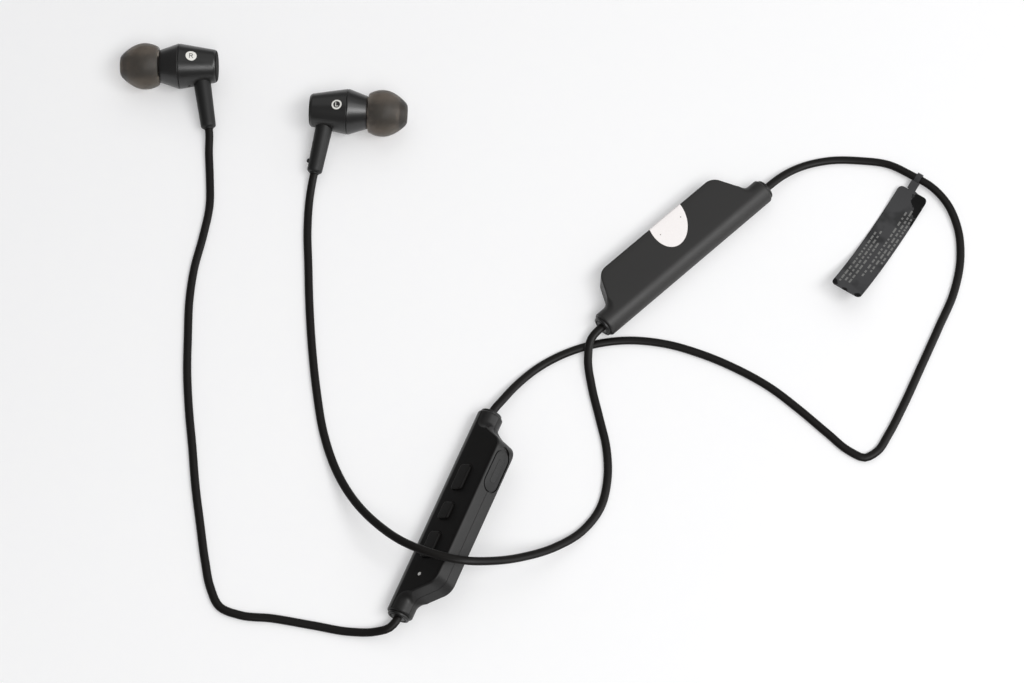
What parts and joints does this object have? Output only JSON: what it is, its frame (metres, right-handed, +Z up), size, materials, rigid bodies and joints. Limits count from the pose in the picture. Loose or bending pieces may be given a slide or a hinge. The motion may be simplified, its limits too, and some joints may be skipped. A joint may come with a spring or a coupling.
{
  "type": "wireless neck-cord earphones",
  "caption": "Pair of in-ear earphones joined by flat cords through an inline control pod and an inline battery pod, with a film tag on the neck cord.",
  "frame": {"origin": "centre of the box round everything but the cords and the tag, in plan, on the table it lies on", "axes": "+Z up off the table, +X towards the battery pod's side, +Y towards the earbuds' side"},
  "size_m": [0.2161, 0.1602, 0.0146],
  "materials": {
    "silicone": "smoky translucent, satin",
    "boot_rubber": "satin moulded",
    "cord_jacket": "satin extruded",
    "tag_film": "printed film, glossy",
    "seal_paper": "matt white seal",
    "battery_plastic": "fine matt grain",
    "housing_plastic": "satin",
    "steel": "stamped",
    "magnet": "nickel plated",
    "film": "pressed film",
    "circuit_board": "solder mask",
    "chip": "moulded package",
    "switch_metal": "stamped cap",
    "light_pipe": "milky, moulded",
    "cell_foil": "laminate pouch"
  },
  "bodies": {
    "set": {"right_front_shell": "housing_plastic", "right_nozzle_mesh": "steel", "right_rear_shell": "housing_plastic", "right_driver_basket": "steel", "right_driver_magnet": "magnet", "right_driver_diaphragm": "film", "right_boot": "boot_rubber", "left_front_shell": "housing_plastic", "left_nozzle_mesh": "steel", "left_rear_shell": "housing_plastic", "left_driver_basket": "steel", "left_driver_magnet": "magnet", "left_driver_diaphragm": "film", "left_boot": "boot_rubber", "control_front_shell": "housing_plastic", "control_rear_shell": "housing_plastic", "control_upper_grommet": "boot_rubber", "control_lower_grommet": "boot_rubber", "charging_socket": "steel", "control_board": "circuit_board", "button_switches": "switch_metal", "radio_chip": "chip", "indicator_lens": "light_pipe", "microphone": "steel", "battery_front_shell": "battery_plastic", "battery_rear_shell": "battery_plastic", "battery_upper_grommet": "boot_rubber", "battery_lower_grommet": "boot_rubber", "battery_cell": "cell_foil", "protection_board": "circuit_board", "edge_seal": "seal_paper", "cord_right": "cord_jacket", "cord_neck": "cord_jacket", "cord_left": "cord_jacket"},
    "volume_up": {"volume_up_button": "boot_rubber"},
    "play": {"play_button": "boot_rubber"},
    "volume_down": {"volume_down_button": "boot_rubber"},
    "cover": {"port_cover": "boot_rubber"},
    "right_tip": {"right_ear_tip": "silicone"},
    "left_tip": {"left_ear_tip": "silicone"},
    "tag": {"cord_tag": "tag_film"}
  },
  "joints": [
    {"name": "press_volume_up", "type": "slide", "parent": "set", "child": "volume_up", "axis": [0.593, -0.2481, -0.766], "range_m": [0, 0.0003], "stiffness_N_per_m": 4000},
    {"name": "press_play", "type": "slide", "parent": "set", "child": "play", "axis": [0.593, -0.2481, -0.766], "range_m": [0, 0.0003], "stiffness_N_per_m": 4000},
    {"name": "press_volume_down", "type": "slide", "parent": "set", "child": "volume_down", "axis": [0.593, -0.2481, -0.766], "range_m": [0, 0.0003], "stiffness_N_per_m": 4000},
    {"name": "cover_swing", "type": "hinge", "parent": "set", "child": "cover", "pos_m": [0.0121, -0.04844, 0.01008], "axis": [0.593, -0.2481, -0.766], "range_deg": [0, 110]},
    {"name": "right_tip_pull", "type": "slide", "parent": "set", "child": "right_tip", "axis": [-1, 0, 0], "range_m": [0, 0.01]},
    {"name": "left_tip_pull", "type": "slide", "parent": "set", "child": "left_tip", "axis": [0.9986, -0.0523, 0], "range_m": [0, 0.01]},
    {"name": "tag_swing", "type": "hinge", "parent": "set", "child": "tag", "pos_m": [0.122, 0.0411, 0.0016], "axis": [-0.8387, 0.5446, 0], "range_deg": [0, 170]}
  ]
}
